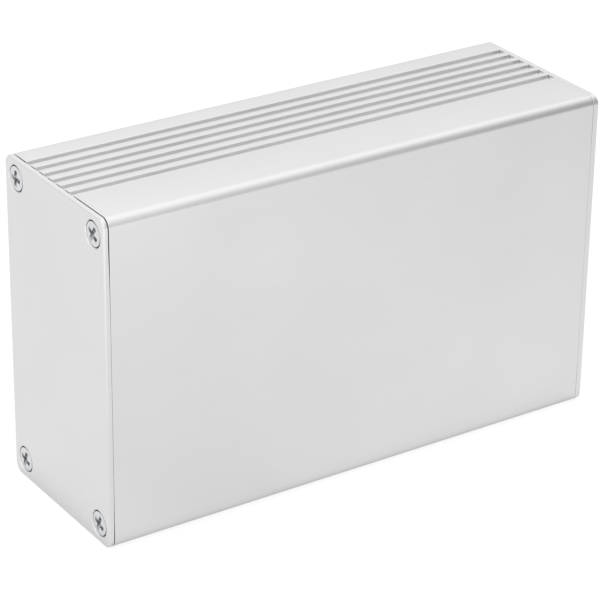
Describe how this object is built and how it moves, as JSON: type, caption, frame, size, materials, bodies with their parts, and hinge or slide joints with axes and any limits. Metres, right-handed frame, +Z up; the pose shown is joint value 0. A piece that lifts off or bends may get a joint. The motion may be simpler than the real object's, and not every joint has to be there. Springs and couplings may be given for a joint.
{
  "type": "extruded electronics enclosure",
  "caption": "Long rectangular aluminium project box with a split extruded body, grooved narrow faces and screwed blank end plates.",
  "frame": {"origin": "middle of the box's footprint, on the surface that its narrow face stands on", "axes": "+X along the extrusion towards the right end plate, +Y from the front wide face to the back one, +Z up"},
  "size_m": [0.1124, 0.037, 0.068],
  "materials": {
    "anodised_shell": "clear anodised satin extrusion",
    "anodised_plate": "clear anodised satin sheet",
    "plated_screw": "bright plated steel"
  },
  "bodies": {
    "box": {"front_shell": "anodised_shell", "back_shell": "anodised_shell"},
    "left_plate": {"left_end_plate": "anodised_plate"},
    "right_plate": {"right_end_plate": "anodised_plate"},
    "screw_left_front_top": {"screw_left_front_top": "plated_screw"},
    "screw_left_front_bottom": {"screw_left_front_bottom": "plated_screw"},
    "screw_left_back_top": {"screw_left_back_top": "plated_screw"},
    "screw_left_back_bottom": {"screw_left_back_bottom": "plated_screw"},
    "screw_right_front_top": {"screw_right_front_top": "plated_screw"},
    "screw_right_front_bottom": {"screw_right_front_bottom": "plated_screw"},
    "screw_right_back_top": {"screw_right_back_top": "plated_screw"},
    "screw_right_back_bottom": {"screw_right_back_bottom": "plated_screw"}
  },
  "joints": [
    {"name": "left_plate_off", "type": "slide", "parent": "box", "child": "left_plate", "axis": [-1, 0, 0], "range_m": [0, 0.04]},
    {"name": "right_plate_off", "type": "slide", "parent": "box", "child": "right_plate", "axis": [1, 0, 0], "range_m": [0, 0.04]},
    {"name": "screw_left_front_top_out", "type": "slide", "parent": "left_plate", "child": "screw_left_front_top", "axis": [-1, 0, 0], "range_m": [0, 0.01]},
    {"name": "screw_left_front_bottom_out", "type": "slide", "parent": "left_plate", "child": "screw_left_front_bottom", "axis": [-1, 0, 0], "range_m": [0, 0.01]},
    {"name": "screw_left_back_top_out", "type": "slide", "parent": "left_plate", "child": "screw_left_back_top", "axis": [-1, 0, 0], "range_m": [0, 0.01]},
    {"name": "screw_left_back_bottom_out", "type": "slide", "parent": "left_plate", "child": "screw_left_back_bottom", "axis": [-1, 0, 0], "range_m": [0, 0.01]},
    {"name": "screw_right_front_top_out", "type": "slide", "parent": "right_plate", "child": "screw_right_front_top", "axis": [1, 0, 0], "range_m": [0, 0.01]},
    {"name": "screw_right_front_bottom_out", "type": "slide", "parent": "right_plate", "child": "screw_right_front_bottom", "axis": [1, 0, 0], "range_m": [0, 0.01]},
    {"name": "screw_right_back_top_out", "type": "slide", "parent": "right_plate", "child": "screw_right_back_top", "axis": [1, 0, 0], "range_m": [0, 0.01]},
    {"name": "screw_right_back_bottom_out", "type": "slide", "parent": "right_plate", "child": "screw_right_back_bottom", "axis": [1, 0, 0], "range_m": [0, 0.01]}
  ]
}
